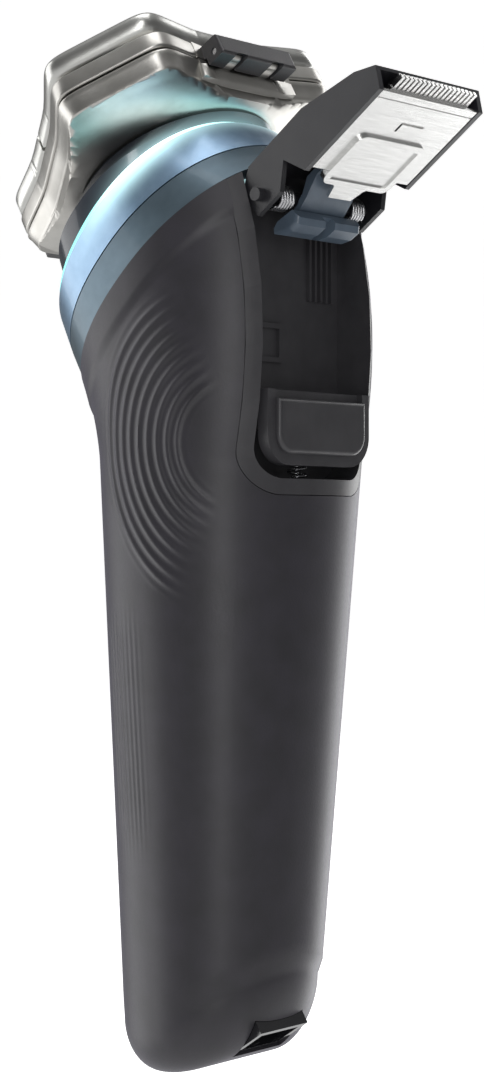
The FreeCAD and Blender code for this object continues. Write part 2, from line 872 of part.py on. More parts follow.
def motorPinion():
    step = 360.0 / pinionTeeth
    gear = gearBody(pinionTeeth, motorTop + 0.6, motorTop + 3.4, 90 + step / 2)
    shaft = cylinder(1.0, motorTop - motorLength + 2.2, motorTop + 3.6)
    return onMotor(gear.fuse(shaft))


def driveSpindle():
    step = 360.0 / driveTeeth
    gear = gearBody(driveTeeth, motorTop + 0.8, motorTop + 3.2, -90)
    shaft = cylinder(spindleRadius, motorTop + 0.4, -7.5)
    tip = driveTip(0.0, -7.6, -5.6).common(cylinder(spindleRadius + 0.2, -8, -5))
    return toHead(gear.fuse(shaft).fuse(tip))


def gearPlatform():
    # plate that carries the motor and the spindle's bearing
    low = platformLow
    high = platformLow + platformThick
    plate = cylinder(9.5, low, high, 0.0, -motorOffset).fuse(cylinder(9.5, low, high))
    plate = plate.fuse(box(-9.5, 9.5, -motorOffset, 0, low, high))
    for side in (-1, 1):
        post = cylinder(1.6, motorTop, low + 0.1, side * 6.0, -motorOffset)
        plate = plate.fuse(post)
        plate = plate.cut(cylinder(0.9, motorTop - 1, high + 1, side * 6.0, -motorOffset))
    plate = plate.cut(cylinder(bearingRadius + 0.02, low - 1, high + 1))
    return toHead(plate)


def spindleBearing():
    bore = spindleRadius + runningGap
    top = platformLow + platformThick
    bearing = tube(bearingRadius, bore, platformLow, top + 3.0)
    flange = tube(bearingRadius + 0.8, bore, top, top + 0.8)
    return toHead(bearing.fuse(flange))


def neckSeal():
    low = -12.2
    return toHead(tube(5.4, spindleRadius + 0.2, low, low + 1.0).fuse(tube(5.4, 4.4, low, low + 3.0)))


def motorScrews():
    screws = []
    top = platformLow + platformThick
    for side in (-1, 1):
        shank = cylinder(0.8, motorTop - 2.8, top + 0.1, side * 6.0)
        head = cylinder(1.5, top, top + 1.2, side * 6.0)
        screws.append(onMotor(shank.fuse(head)))
    return Part.makeCompound(screws)


def innerFrame():
    # spine plate with battery cradles, a foot and a ring around the motor
    half = spineWidth / 2
    top = gripEdgeFrontZ + 2.0
    spine = box(-half, half, spineY - spineThick, spineY, 16.0, top)
    for z in (batteryLow + 4, batteryLow + batteryLength / 2, batteryLow + batteryLength - 8):
        ring = tube(batteryRadius + 1.4, batteryRadius + 0.1, z, z + 4, 0.0, batteryY)
        ring = ring.cut(box(-20, 20, batteryY + 3.5, 40, z - 1, z + 5))
        spine = spine.fuse(ring)
    foot = box(-half, half, spineY - spineThick, 8.0, 26.0, 28.0)
    spine = spine.fuse(foot)
    low = motorTop - motorLength
    cradle = tube(motorRadius + 1.5, motorRadius + 0.1, low + 1.5, low + 8)
    spine = spine.cut(onMotor(cylinder(motorRadius + 0.1, motorTop - motorLength - 2, motorTop + 1)))
    spine = spine.fuse(onMotor(cradle))
    return largestSolid(spine)


def batteryCell():
    cell = cylinder(batteryRadius, batteryLow, batteryLow + batteryLength - 1.5, 0.0, batteryY)
    cell = roundEdges(cell, 0.5, lambda edge: edge.Length > 40)
    top = batteryLow + batteryLength
    return cell.fuse(cylinder(2.6, top - 1.6, top, 0.0, batteryY))


def batteryTabs():
    tabs = []
    for z in (batteryLow - 0.4, batteryLow + batteryLength):
        flat = box(-2.0, 2.0, spineY + 0.1, batteryY + 3, z, z + 0.4)
        tabs.append(flat)
    return Part.makeCompound(tabs)


def circuitBoard():
    half = boardWidth / 2
    board = box(-half, half, boardY - boardThick, boardY, boardLow, boardHigh)
    for z in (boardLow + 4, boardHigh - 4):
        hole = Part.makeCylinder(1.0, 8, V(half - 3, boardY - 4, z), V(0, 1, 0))
        board = board.cut(hole)
    return board


def boardParts():
    front = boardY - boardThick
    switch = box(-2.5, 2.5, front - switchHeight, front, buttonZ - 2.5, buttonZ + 2.5)
    chip = box(-3, 3, boardY, boardY + 1.0, 60, 66)
    coil = Part.makeCylinder(2.2, 1.6, V(4, boardY, 50), V(0, 1, 0))
    lights = [box(x - 0.8, x + 0.8, front - 0.8, front, 51, 53) for x in (-4, 0, 4)]
    standoffs = [box(-7.5, -5.5, boardY, spineY - spineThick, z, z + 2) for z in (40, 74)]
    standoffs += [box(5.5, 7.5, boardY, spineY - spineThick, z, z + 2) for z in (40, 74)]
    return Part.makeCompound([switch, chip, coil] + lights + standoffs)


def lightBoard():
    # flexible board with lamps, just under the light ring
    inset = lightRingInset + lightRingWall
    outer = Part.Face(rimWire(lightRingInset + 1.4)).extrude(rimNormal() * -0.5)
    inner = Part.Face(rimWire(inset + 1.6)).extrude(rimNormal() * -3)
    inner.translate(rimNormal() * 1.0)
    ring = outer.cut(inner)
    ring.translate(rimNormal() * -0.1)
    return ring


def trimmerFrame():
    # side walls, outer cover, lever post; drawn from the hinge with +Z away from the handle when open
    cover = [(-2.4, 2.6), (0.6, trimmerBack), (13.3, trimmerBack), (23.7, 2.4), (trimmerReach, 0.5)]
    belly = [(25.8, trimmerBelly), (8.6, trimmerBelly), (6.4, 1.2), (3.2, -2.2), (-2.2, -2.2)]
    walls = prismX(cover + belly, -trimmerHalfWidth, trimmerHalfWidth)
    roof = [(-4.0, -6.0), (-4.0, 1.4), (1.1, 3.8), (13.1, 3.8)]
    inside = roof + [(23.4, 1.2), (28.0, -0.3), (28.0, -6.0)]
    walls = walls.cut(prismX(inside, -trimmerHalfWidth + trimmerWall, trimmerHalfWidth - trimmerWall))
    walls = walls.cut(Part.makeCylinder(hingePinRadius, 60, V(-30, 0, 0), V(1, 0, 0)))
    post = cylinder(1.2, 0.0, 4.0, 0.0, leverPivot)
    post = post.fuse(cylinder(2.0, leverThick + 0.8, 4.0, 0.0, leverPivot))
    return toTrimmer(walls.fuse(post).removeSplitter())


def trimmerPlate():
    # pressed steel plate: raised window frame open to the tab, a hook-shaped slot and a groove at its lip
    low = trimmerBelly + 0.1
    high = low + plateThick
    windowStart = plateStart - 2.2
    plate = box(-plateHalfWidth, plateHalfWidth, plateStart, plateEnd, low, high)
    frame = box(-plateWindowHalf, plateWindowHalf, windowStart, plateWindowEnd, low - 0.5, low + 0.01)
    frame = roundEdges(frame, 1.6, lambda edge: edge.BoundBox.ZLength > 0.4)
    under = box(-plateWindowHalf, plateWindowHalf, windowStart, plateStart + 0.5, low, high)

    def isFreeCorner(edge):
        return edge.BoundBox.ZLength > 0.4 and edge.BoundBox.YMax < plateStart
    under = roundEdges(under, 1.6, isFreeCorner)
    plate = plate.fuse(frame).fuse(under)
    inner = plateWindowHalf - 1.3
    plate = plate.cut(box(-inner, inner, windowStart + 1.0, plateWindowEnd - 1.2, low - 0.6, low - 0.2))
    neck = plateStart - 5.2
    tab = [(2.6, neck), (3.4, windowStart - 0.8), (4.4, windowStart), (4.4, plateStart)]
    plate = plate.fuse(prismZ(tab + [(-x, y) for x, y in tab[::-1]], low, high))
    hook = box(-3.4, 1.9, 20.4, 20.8, low - 1, high + 1).fuse(box(1.4, 1.9, 18.9, 20.8, low - 1, high + 1))
    lip = box(-plateHalfWidth - 1, plateHalfWidth + 1, plateEnd - 1.4, plateEnd - 1.2, low - 1, low + 0.15)
    return toTrimmer(plate.cut(hook).cut(lip).removeSplitter())


def toothBlade(low, body, tip, half, count):
    # strip with square teeth along its outer edge
    blade = box(-half, half, body, tip - toothReach, low, low + bladeThick)
    pitch = 2 * half / count
    root = tip - toothReach - 0.1
    teeth = []
    for i in range(count):
        left = -half + pitch * (i + 0.2)
        teeth.append(box(left, left + pitch * 0.6, root, tip, low, low + bladeThick))
    return blade.multiFuse(teeth)


def combLow():
    return trimmerBelly + 0.1 + plateThick


def trimmerComb():
    comb = toothBlade(combLow(), 20.0, 28.1, toothRowHalf, toothCount)
    wings = box(-plateHalfWidth, plateHalfWidth, 20.0, 24.5, combLow(), combLow() + bladeThick)
    return toTrimmer(comb.fuse(wings).removeSplitter())


def trimmerCutter():
    low = combLow() + bladeThick + bladeGap
    cutter = toothBlade(low, 18.8, 27.6, toothRowHalf - 0.7, toothCount - 1)
    slot = box(-0.8 - 0.1, 0.8 + 0.1, 17.0, leverPinAlong + 1.4, low - 1, low + 2)
    return toTrimmer(cutter.cut(slot).removeSplitter())


def trimmerLever():
    # rocks about its post: two lobes below the hinge, a wide neck, an arm and a pin in the cutter's slot
    level = 0.4
    half = [(leverHalf, 4.4), (leverHalf, 7.0), (3.0, 10.5), (1.3, leverPinAlong + 1.0)]
    arm = prismZ(half + [(-x, y) for x, y in half[::-1]], level - leverThick / 2, level + leverThick / 2)
    neckOutside = [(6.0, 0.9), (6.0, -0.1), (2.6, -1.5), (-0.6, -2.5), (-3.4, -3.4)]
    neckProfile = neckOutside + [(-3.8, -2.6), (-1.0, -1.6), (2.2, -0.55), (4.4, 0.9)]
    neck = prismX(neckProfile, -leverHalf, leverHalf)
    neck = neck.cut(Part.makeCylinder(hingePinRadius + 0.35, 20, V(-10, 0, 0), V(1, 0, 0)))
    lobeTop = [(0.6, -2.7), (-1.2, -2.4), (-2.8, -2.2), (-3.9, -2.6)]
    lobeProfile = lobeTop + [(-4.3, -3.3), (-3.3, -4.35), (-1.6, -5.1), (0.2, -5.2), (0.9, -4.4)]
    lobes = prismX(lobeProfile, -leverLobeHalf, leverLobeHalf)
    lobes = roundEdges(lobes, 0.9, lambda edge: edge.BoundBox.XLength < 0.01 and edge.BoundBox.ZMax < -4.0)
    lobes = lobes.cut(box(-1.1, 1.1, -6.0, 2.0, -6.0, -3.4))
    pin = cylinder(0.8, combLow() + bladeThick + bladeGap, 0.5, 0.0, leverPinAlong)
    lever = arm.fuse(neck).fuse(lobes).fuse(pin)
    lever = lever.cut(cylinder(1.2 + runningGap, -3, 5, 0.0, leverPivot))
    return toTrimmer(largestSolid(lever.removeSplitter()))


def trimmerPin():
    reach = bayHalfWidth + 0.9
    return toTrimmer(Part.makeCylinder(hingePinRadius, 2 * reach, V(-reach, 0, 0), V(1, 0, 0)))


def trimmerSprings():
    springs = []
    for side in (-1, 1):
        coil = Part.makeHelix(0.62, 3.1, 1.75)
        start = V(1.75, 0, 0)
        profile = Part.Wire(Part.makeCircle(0.27, start, V(0, 1, 0)))
        solid = Part.Wire(coil).makePipeShell([profile], True, True)
        solid.rotate(V(0, 0, 0), V(0, 1, 0), 90)
        solid.translate(V(side * 8.3 - 1.55, 0, 0))
        springs.append(toTrimmer(solid))
    return Part.makeCompound(springs)


def releaseSlide():
    # plate with rounded lower corners, a raised finger pad between its rails, and two feet behind
    back = slideFaceY - slideThick
    plate = box(-slideHalfWidth, slideHalfWidth, back, slideFaceY, slideLow, slideHigh)
    plate = roundLower(plate, slideRound, slideLow)
    padHalf = slideHalfWidth - padInset
    padLow = slideLow + padInset
    padHigh = slideHigh - padDrop
    pad = box(-padHalf, padHalf, back + 0.5, slideFaceY + padRise, padLow, padHigh)
    pad = roundLower(pad, slideRound - padInset, padLow)
    pad = roundEdges(pad, padRise * 0.8, lambda edge: edge.BoundBox.YMin > slideFaceY + padRise - 0.01)
    slide = plate.cut(box(-padHalf, padHalf, back + 1.0, 60.0, padHigh, slideHigh + 1.0)).fuse(pad)
    for side in (-1, 1):
        left = side * 9.0 - 1.0
        leg = box(left, left + 2.0, bayFloorY + 0.3, back + 0.1, slideHigh - 6.0, slideHigh - 2.0)
        slide = slide.fuse(leg)
    return slide.removeSplitter()


def releaseSpring():
    low = bayLow
    high = slideHigh - 6.4
    coil = Part.makeHelix((high - low) / 6.0, high - low - 0.6, 1.3)
    profile = Part.Wire(Part.makeCircle(0.25, V(1.3, 0, 0), V(0, 1, 0)))
    solid = Part.Wire(coil).makePipeShell([profile], True, True)
    solid.translate(V(0, (bayFloorY + slideFaceY - slideThick) / 2, low + 0.3))
    return solid


def buildHandle():
    outer = outerBody()
    inner = innerBody()
    export("grip_shell", gripShell(outer, inner))
    export("front_panel", frontPanel(outer))
    export("display_window", displayWindow(outer))
    export("power_button", powerButton(outer))
    export("rear_bay", rearBay(outer))
    export("collar_lower", collarLower())
    export("collar_upper", collarUpper())
    export("light_ring", lightRing())
    export("light_board", lightBoard())
    export("neck_dome", neckDome())
    export("charging_socket", socketInsert())
    export("contact_pins", contactPins())
    export("inner_frame", innerFrame())
    export("battery_cell", batteryCell())
    export("battery_tabs", batteryTabs())
    export("circuit_board", circuitBoard())
    export("board_parts", boardParts())


def buildDrive():
    export("motor_body", motorBody())
    export("motor_pinion", motorPinion())
    export("motor_screws", motorScrews())
    export("gear_platform", gearPlatform())
    export("spindle_bearing", spindleBearing())
    export("drive_spindle", driveSpindle())
    export("neck_seal", neckSeal())


def buildTrimmer():
    export("trimmer_frame", trimmerFrame())
    export("trimmer_plate", trimmerPlate())
    export("trimmer_comb", trimmerComb())
    export("trimmer_cutter", trimmerCutter())
    export("trimmer_lever", trimmerLever())
    export("trimmer_pin", trimmerPin())
    export("trimmer_springs", trimmerSprings())
    export("release_slide", releaseSlide())
    export("release_spring", releaseSpring())


def buildHead():
    export("hair_chamber", toHead(hairChamber()))
    export("gear_cover", toHead(gearCover()))
    export("head_coupling", toHead(headCoupling()))
    export("head_release", toHead(headRelease()))
    export("hinge_cover", toHead(hingeCover()))
    export("hinge_pin", toHead(hingePin()))
    export("central_gear", toHead(centralGear()))
    export("head_frame", toHead(headFrame()))
    export("retaining_plate", toHead(retainingPlate()))
    for i in range(3):
        export("unit_gear_" + str(i + 1), toHead(unitGear(i)))
        export("unit_bezel_" + str(i + 1), toHead(unitBezel(i)))
        export("shaving_guard_" + str(i + 1), toHead(shavingGuard(i)))
        export("rotary_cutter_" + str(i + 1), toHead(rotaryCutter(i)))


buildHandle()
buildDrive()
buildTrimmer()
buildHead()
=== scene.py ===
import bmesh
import bpy
import json
import math
import mathutils
import numpy as np
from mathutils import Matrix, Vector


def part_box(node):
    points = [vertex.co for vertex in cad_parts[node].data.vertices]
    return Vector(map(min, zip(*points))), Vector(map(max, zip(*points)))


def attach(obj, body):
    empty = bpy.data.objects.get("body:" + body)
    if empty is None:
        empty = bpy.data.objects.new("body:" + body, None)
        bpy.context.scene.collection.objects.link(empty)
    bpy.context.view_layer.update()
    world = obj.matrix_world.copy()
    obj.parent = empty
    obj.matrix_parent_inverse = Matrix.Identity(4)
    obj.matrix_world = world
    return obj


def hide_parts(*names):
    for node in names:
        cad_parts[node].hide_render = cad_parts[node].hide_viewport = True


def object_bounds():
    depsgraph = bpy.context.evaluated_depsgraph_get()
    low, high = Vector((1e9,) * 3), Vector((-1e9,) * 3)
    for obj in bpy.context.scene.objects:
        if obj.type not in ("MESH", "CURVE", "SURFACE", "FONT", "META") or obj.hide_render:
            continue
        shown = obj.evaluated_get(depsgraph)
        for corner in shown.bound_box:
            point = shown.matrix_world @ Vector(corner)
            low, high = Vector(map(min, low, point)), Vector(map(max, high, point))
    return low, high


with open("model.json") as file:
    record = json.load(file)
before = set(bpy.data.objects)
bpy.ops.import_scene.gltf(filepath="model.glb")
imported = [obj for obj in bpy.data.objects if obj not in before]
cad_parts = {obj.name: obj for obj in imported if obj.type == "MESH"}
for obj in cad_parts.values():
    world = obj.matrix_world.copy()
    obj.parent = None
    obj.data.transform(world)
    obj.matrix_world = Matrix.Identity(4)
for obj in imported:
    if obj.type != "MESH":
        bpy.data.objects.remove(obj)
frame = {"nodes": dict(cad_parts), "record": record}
cadLow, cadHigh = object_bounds()
nodes = frame["nodes"]
print("frame loaded")

# Drawing frame: mm, Z up from the lowest point of the handle, Y = 0 on the handle's axis.
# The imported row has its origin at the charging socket; the trimmer pin's box gives the step between them.
hinge = {"y": 17.1, "z": 135.0}
pinLow, pinHigh = [np.array(corner) * 1000 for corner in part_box("trimmer_pin")]
rowShift = (pinLow + pinHigh) / 2 - np.array([0.0, hinge["y"], hinge["z"]])
rowShift[0] = 0.0


def toRow(points):
    # drawing mm -> row metres
    return (np.asarray(points, float) + rowShift) / 1000


handle = {
    "straightTop": 96.0, "baseHalfWidth": 14.7, "topHalfWidth": 21.2,
    "baseHalfDepth": 14.1, "topHalfDepth": 18.9, "baseCentre": -2.4,
    "gripFront": (-22.0, 104.8), "gripBack": (16.5, 141.4), "gripHalfWidth": 22.3,
    "bandFront": (-24.3, 109.5), "bandBack": (10.6, 144.4), "bandHalfWidth": 22.2,
    "rimFront": (-26.5, 114.5), "rimBack": (4.5, 148.8), "rimHalfWidth": 21.8,
    "bulge": 2.4, "power": 2.2, "wall": 2.0, "baseRoundIn": 6.0, "baseRoundUp": 9.0, "baseBlend": 0.35,
    "baseStation": 0.08,
    "footY": -14.0, "footZ": -0.3, "footSlope": 10.0, "facetY": 2.5, "facetSlope": 34.0,
}


def meshFrom(name, points, faces, smoothAngle=30.0):
    # points: (n, 3) in row metres; faces: list of index arrays, one array per polygon size
    mesh = bpy.data.meshes.new(name)
    loops = np.concatenate([f.ravel() for f in faces])
    sizes = np.concatenate([np.full(len(f), f.shape[1]) for f in faces])
    starts = np.concatenate([[0], np.cumsum(sizes)[:-1]])
    mesh.vertices.add(len(points))
    mesh.vertices.foreach_set("co", np.asarray(points, np.float32).ravel())
    mesh.loops.add(len(loops))
    mesh.loops.foreach_set("vertex_index", loops.astype(np.int32))
    mesh.polygons.add(len(sizes))
    mesh.polygons.foreach_set("loop_start", starts.astype(np.int32))
    mesh.polygons.foreach_set("loop_total", sizes.astype(np.int32))
    mesh.update(calc_edges=True)
    mesh.validate()
    obj = bpy.data.objects.new(name, mesh)
    bpy.context.scene.collection.objects.link(obj)
    smooth(obj, smoothAngle)
    return obj


def smooth(obj, angle=30.0):
    obj.data.polygons.foreach_set("use_smooth", np.ones(len(obj.data.polygons), bool))
    obj.data.set_sharp_from_angle(angle=math.radians(angle))


def gridFaces(rows, columns, closed=True, start=0):
    # quads between neighbouring rows; a closed grid joins its last column to its first
    i = np.arange(rows - 1)[:, None] * columns + start
    j = np.arange(columns if closed else columns - 1)[None, :]
    k = (j + 1) % columns
    return np.stack([i + j, i + k, i + columns + k, i + columns + j], -1).reshape(-1, 4)


def closedGrid(name, grid, smoothAngle=30.0, capStart=True, capEnd=True):
    # grid (rows, columns, 3) of rings, in drawing mm; its ends are closed with one face each
    rows, columns = grid.shape[:2]
    faces = [gridFaces(rows, columns)]
    ends = []
    if capStart:
        ends.append(np.arange(columns)[::-1])
    if capEnd:
        ends.append(np.arange(columns) + (rows - 1) * columns)
    if ends:
        faces.append(np.stack(ends))
    obj = meshFrom(name, toRow(grid.reshape(-1, 3)), faces, smoothAngle)
    turnOutwards(obj)
    return obj


def ringGrid(name, grid, smoothAngle=30.0):
    # grid of rings whose last row joins its first row, such as a band with a closed section
    rows, columns = grid.shape[:2]
    i = np.arange(rows)[:, None]
    j = np.arange(columns)[None, :]
    a = i * columns + j
    b = i * columns + (j + 1) % columns
    c = (i + 1) % rows * columns + (j + 1) % columns
    d = (i + 1) % rows * columns + j
    faces = np.stack([a, b, c, d], -1).reshape(-1, 4)
    obj = meshFrom(name, toRow(grid.reshape(-1, 3)), [faces], smoothAngle)
    turnOutwards(obj)
    return obj


def turnOutwards(obj):
    # flips all faces where the signed volume comes out negative
    mesh = obj.data
    mesh.calc_loop_triangles()
    points = np.empty(len(mesh.vertices) * 3)
    mesh.vertices.foreach_get("co", points)
    points = points.reshape(-1, 3)
    triangles = np.empty(len(mesh.loop_triangles) * 3, np.int32)
    mesh.loop_triangles.foreach_get("vertices", triangles)
    p, q, r = points[triangles.reshape(-1, 3)].transpose(1, 0, 2)
    if np.einsum("ij,ij->i", p, np.cross(q, r)).sum() < 0:
        mesh.flip_normals()


def bake(obj):
    # applies the modifiers
    depsgraph = bpy.context.evaluated_depsgraph_get()
    mesh = bpy.data.meshes.new_from_object(obj.evaluated_get(depsgraph))
    obj.modifiers.clear()
    obj.data = mesh


def carve(obj, cutters, operation="DIFFERENCE"):
    for cutter in cutters:
        mod = obj.modifiers.new("carve", "BOOLEAN")
        mod.operation = operation
        mod.object = cutter
        mod.solver = "MANIFOLD"
        bake(obj)
        old = cutter.data
        bpy.data.objects.remove(cutter)
        bpy.data.meshes.remove(old)


def prism(name, outline, axis, low, high):
    # an outline in the two other axes pushed along one axis, all in drawing mm
    outline = np.asarray(outline, float)
    count = len(outline)
    ring = np.zeros((2, count, 3))
    others = [i for i in range(3) if i != axis]
    ring[:, :, others[0]] = outline[:, 0]
    ring[:, :, others[1]] = outline[:, 1]
    ring[0, :, axis] = low
    ring[1, :, axis] = high
    return closedGrid(name, ring, 20.0)


def smoothstep(low, high, x):
    t = np.clip((x - low) / (high - low), 0, 1)
    return t * t * (3 - 2 * t)


def stations(s):
    # s 0..1 straight handle, 1..2 turning up to the grip's edge, 2..3 lower band, 3..4 upper band
    h = handle
    s = np.asarray(s, float)
    low = np.clip(s, -1, 1)
    z = h["straightTop"] * low
    depth = h["baseHalfDepth"] + (h["topHalfDepth"] - h["baseHalfDepth"]) * low
    centre = h["baseCentre"] * (1 - low)
    wide = h["baseHalfWidth"] + (h["topHalfWidth"] - h["baseHalfWidth"]) * low
    t = np.clip(s - 1, 0, 1)
    frontY = centre - depth + (h["gripFront"][0] + h["topHalfDepth"]) * t
    frontZ = z + (h["gripFront"][1] - h["straightTop"]) * t ** 0.7
    backY = centre + depth + (h["gripBack"][0] - h["topHalfDepth"]) * t ** 3 + 4 * h["bulge"] * t * (1 - t)
    backZ = z + (h["gripBack"][1] - h["straightTop"]) * t
    wide = wide + (h["gripHalfWidth"] - h["topHalfWidth"]) * np.sin(t * np.pi / 2)
    for level, front, back, width, was in ((2, "bandFront", "bandBack", "bandHalfWidth", "grip"),
                                           (3, "rimFront", "rimBack", "rimHalfWidth", "band")):
        t = np.clip(s - level, 0, 1)
        frontY = frontY + (h[front][0] - h[was + "Front"][0]) * t
        frontZ = frontZ + (h[front][1] - h[was + "Front"][1]) * t
        backY = backY + (h[back][0] - h[was + "Back"][0]) * t
        backZ = backZ + (h[back][1] - h[was + "Back"][1]) * t
        wide = wide + (h[width] - h[was + "HalfWidth"]) * t
    return frontY, frontZ, backY, backZ, wide


def handlePoint(s, phi, inset=0.0):
    # x = (w - inset) sgn(cos) |cos|^(2/p)
    # v = (half - inset) sgn(sin) |sin|^(2/p), along the section's slope
    frontY, frontZ, backY, backZ, wide = stations(s)
    half = np.hypot(backY - frontY, backZ - frontZ) / 2
    c, sn = np.cos(phi), np.sin(phi)
    power = 2 / handle["power"]
    x = np.sign(c) * np.abs(c) ** power * (wide - inset)
    v = np.sign(sn) * np.abs(sn) ** power * (half - inset)
    y = (frontY + backY) / 2 + (backY - frontY) / (2 * half) * v
    z = (frontZ + backZ) / 2 + (backZ - frontZ) / (2 * half) * v
    return np.stack([x, y, z + 0 * x], -1)


def baseHeight(y):
    # smooth maximum of the foot plane and the socket facet, ln(e^(k a) + e^(k b)) / k
    h = handle
    foot = h["footZ"] + np.tan(np.radians(h["footSlope"])) * (y - h["footY"])
    start = h["footZ"] + np.tan(np.radians(h["footSlope"])) * (h["facetY"] - h["footY"])
    facet = start + np.tan(np.radians(h["facetSlope"])) * (y - h["facetY"])
    k = h["baseBlend"]
    return np.logaddexp(foot * k, facet * k) / k - np.log(2) / k * np.exp(-((foot - facet) * k / 2) ** 2)


ribs = {
    "centreZ": 98.0, "centreAngle": 46.0, "wide": 22.9, "tall": 25.5, "pitch": 0.072, "depth": 0.26,
    "inner": 0.34, "outer": 1.0, "fade": 0.04, "openEnd": (52, 74), "perDegree": 0.35,
    "finePitch": 1.15, "fineDepth": 0.11, "ridge": 0.32, "ridgeDrop": 4.6, "ridgeSoft": 0.9,
}


def ribHeight(p):
    # p in drawing mm. Nested half ellipses beside the bay: f = |(along / wide, up / tall)|, height
    # a ((1 + sin 2 pi f / pitch) / 2)^1.5, faded at the innermost and outermost ellipse and towards
    # their open ends. Below them come fine upright waves, and under the collar a raised margin
    # that ends in a soft step.
    r = ribs
    x, y, z = np.moveaxis(p, -1, 0)
    angle = np.degrees(np.arctan2(y + 0.3, np.abs(x)))
    along = r["perDegree"] * (r["centreAngle"] - angle)
    up = z - r["centreZ"]
    f = np.hypot(along / r["wide"], up / r["tall"])
    lean = np.degrees(np.arctan2(np.abs(up), np.maximum(along, 0.01)))
    fade = r["fade"]
    mask = smoothstep(r["inner"] - fade, r["inner"] + fade, f)
    mask = mask * (1 - smoothstep(r["outer"] - fade, r["outer"] + fade, f))
    mask = mask * (1 - smoothstep(*r["openEnd"], lean)) * smoothstep(0, 1.5, along)
    height = r["depth"] * mask * ((1 + np.sin(2 * np.pi * f / r["pitch"])) / 2) ** 1.5
    fine = smoothstep(34, 44, z) * (1 - smoothstep(66, 76, z))
    fine = fine * smoothstep(-34, -28, angle) * (1 - smoothstep(-12, 2, angle))
    wave = np.sin(2 * np.pi * angle * r["perDegree"] / r["finePitch"])
    height = height + r["fineDepth"] * fine * (1 + wave) / 2
    front, back = np.array(handle["gripFront"]), np.array(handle["gripBack"])
    slope = (back - front) / np.linalg.norm(back - front)
    drop = (y - front[0]) * slope[1] - (z - front[1]) * slope[0]
    margin = 1 - smoothstep(r["ridgeDrop"] - r["ridgeSoft"], r["ridgeDrop"] + r["ridgeSoft"], drop)
    return height + r["ridge"] * margin * smoothstep(74, 92, z)


def gripBody():
    # closed shell: base, rounded edge, side, turning part, then the inner wall back down. Columns
    # stand closer where the ribs are, and ribHeight moves the outside away from the middle
    h = handle
    fineTurn = np.linspace(-np.pi * 0.24, np.pi * 0.27, 126)
    rest = np.linspace(np.pi * 0.27, np.pi * 0.76 - 0.01, 34)[1:-1]
    front = np.linspace(np.pi * 1.24, np.pi * 1.76, 32)[1:-1]
    phi = np.concatenate([fineTurn, rest, np.pi - fineTurn[::-1], front])
    columns = len(phi)
    middle = np.array([0, h["baseCentre"], 0])
    side = handlePoint(np.full(columns, h["baseStation"]), phi, h["baseRoundIn"])
    rows = []
    for k in np.linspace(0.02, 1, 7):
        ring = middle + (side - middle) * k
        ring[:, 2] = baseHeight(ring[:, 1])
        rows.append(ring)
    for a in np.radians(np.linspace(84, 0, 14)):
        ring = handlePoint(np.full(columns, h["baseStation"]), phi, h["baseRoundIn"] * (1 - np.cos(a)))
        ring[:, 2] = baseHeight(ring[:, 1]) + h["baseRoundUp"] * (1 - np.sin(a))
        rows.append(ring)
    start = rows[-1][:, 2] / h["straightTop"]
    steps = np.concatenate([np.linspace(0, 0.3, 12), np.linspace(0.3, 0.68, 16)[1:],
                            np.linspace(0.68, 1, 110)[1:]])
    outside = [handlePoint(start + (1 - start) * k, phi) for k in steps[1:]]
    outside += [handlePoint(np.full(columns, 1 + k), phi) for k in np.linspace(0, 1, 104)[1:]]
    outside = np.array(outside)
    away = np.stack([outside[..., 0], outside[..., 1] + 1.0, 0 * outside[..., 0]], -1)
    away /= np.linalg.norm(away, axis=-1, keepdims=True)
    outside = outside + away * ribHeight(outside)[..., None]
    innerSteps = (2.0, 1.75, 1.5, 1.25, 1.0, 0.6, 0.2, 0.12)
    inside = [handlePoint(np.full(columns, k), phi, h["wall"]) for k in innerSteps]
    return closedGrid("grip", np.concatenate([np.array(rows), outside, np.array(inside)]), 35.0)


panel = {"top": 15.0, "middle": 10.5, "middleZ": 84.0, "endZ": 40.0, "rise": 5.0}


def panelOutline(grow):
    # tapering strip with a rounded lower end, in x and z
    top, middle = panel["top"] + grow, panel["middle"] + grow
    high = handle["rimFront"][1] + panel["rise"]
    kneeZ = (panel["middleZ"] + handle["gripFront"][1]) / 2
    turn = np.linspace(0, np.pi, 25)
    right = [(top, high), (middle + (top - middle) * 0.35, kneeZ), (middle, panel["middleZ"])]
    arc = np.stack([middle * np.cos(turn), panel["endZ"] + middle - middle * np.sin(turn)], 1)
    left = [(-x, z) for x, z in right[::-1]]
    return np.concatenate([right, arc, left])


bay = {"seam": 14.8, "low": 90.6, "round": 7.0, "open": 175.0}


def bayOutline(grow):
    # upright slot with two round lower corners, open at its top, in x and z
    half, low = bay["seam"] + grow, bay["low"] - grow
    radius = bay["round"] + grow
    turn = np.linspace(0, np.pi / 2, 14)
    right = np.stack([half - radius + radius * np.sin(turn), low + radius - radius * np.cos(turn)], 1)
    return np.concatenate([right, [(half, bay["open"]), (-half, bay["open"])], (right * [-1, 1])[::-1]])


socket = {"half": 5.5, "tall": 3.7, "outside": -6.0, "deep": 5.56, "y": 8.1}


def socketCutter(grow):
    # block square to the socket's facet
    half, tall = socket["half"] + grow, socket["tall"] + grow
    block = np.array([(half, -tall), (half, tall), (-half, tall), (-half, -tall)])
    a = np.radians(handle["facetSlope"])
    grid = np.zeros((2, 4, 3))
    for row, deep in enumerate((socket["outside"], socket["deep"] + grow)):
        grid[row, :, 0] = block[:, 0]
        grid[row, :, 1] = socket["y"] + block[:, 1] * np.cos(a) - deep * np.sin(a)
        grid[row, :, 2] = -rowShift[2] + block[:, 1] * np.sin(a) + deep * np.cos(a)
    return closedGrid("cutter", grid)


